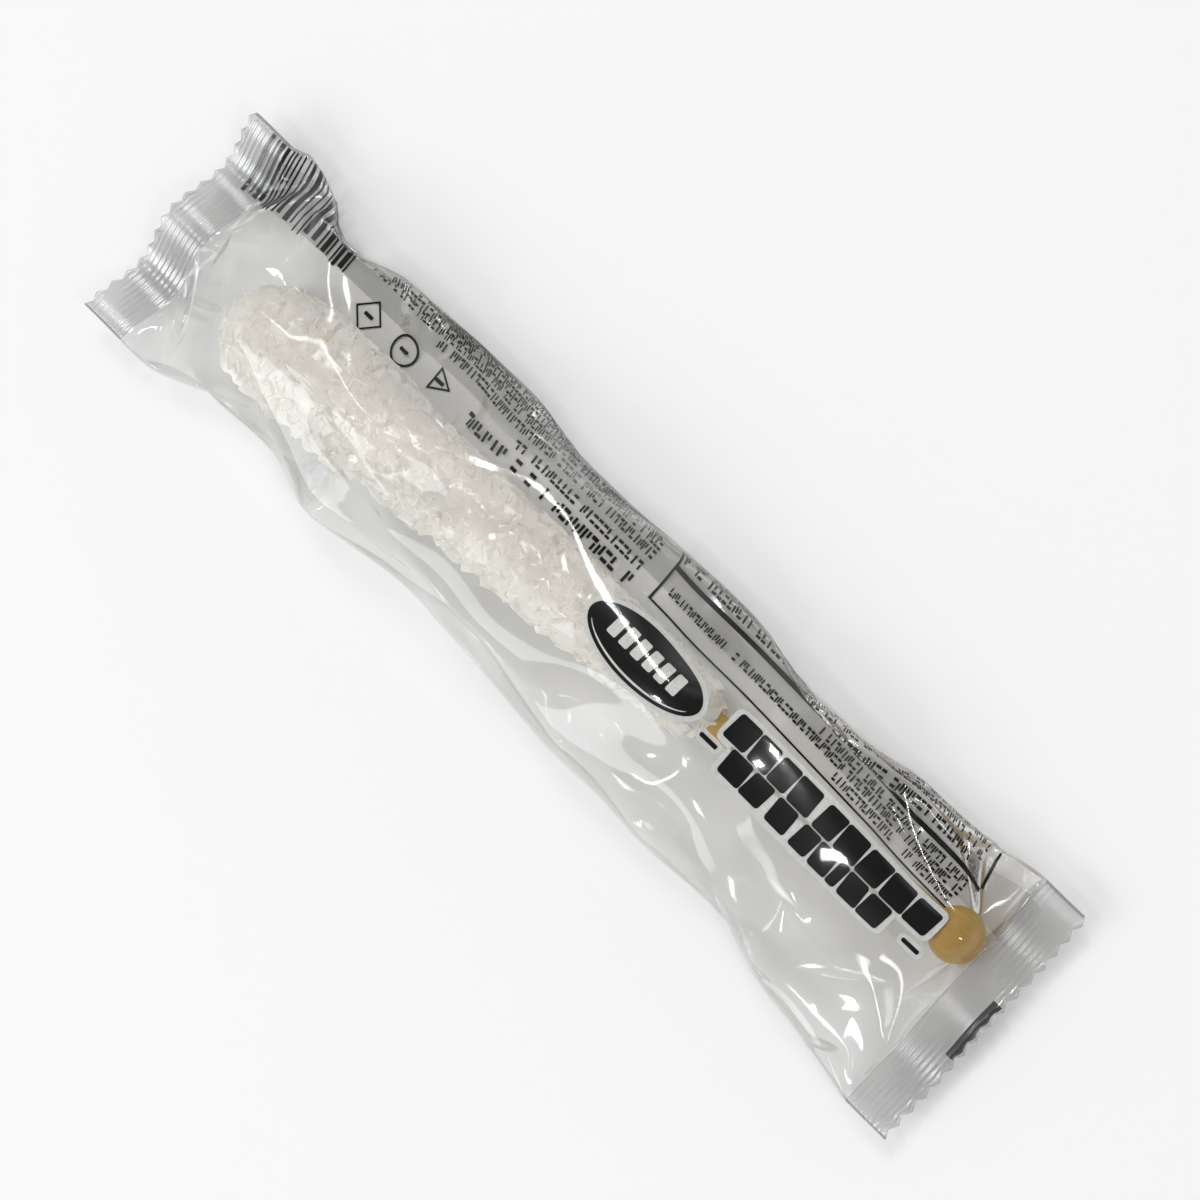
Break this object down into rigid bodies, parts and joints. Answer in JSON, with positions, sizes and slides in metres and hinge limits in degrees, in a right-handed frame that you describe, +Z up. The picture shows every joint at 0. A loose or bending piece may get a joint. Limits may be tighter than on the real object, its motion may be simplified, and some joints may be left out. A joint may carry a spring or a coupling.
{
  "type": "rock candy stick in film pack",
  "caption": "Rock candy on a wooden stick with a ball end, sealed lying down in a clear printed film pack with crimped, saw-toothed ends.",
  "frame": {"origin": "centre of the bounding box, at the underside that the pack lies on", "axes": "+X along the pack towards the ball of the stick, +Y across the pack towards the side of the back fin, +Z up out of the front of the pack"},
  "size_m": [0.203, 0.0488, 0.0211],
  "materials": {
    "film": "clear glossy film",
    "candy": "milky sugar crystals",
    "stick": "plain turned birch",
    "ink": "flat black print",
    "ink_backing": "flat pale grey print"
  },
  "bodies": {
    "root": {"candy_pack": "film"}
  },
  "joints": []
}
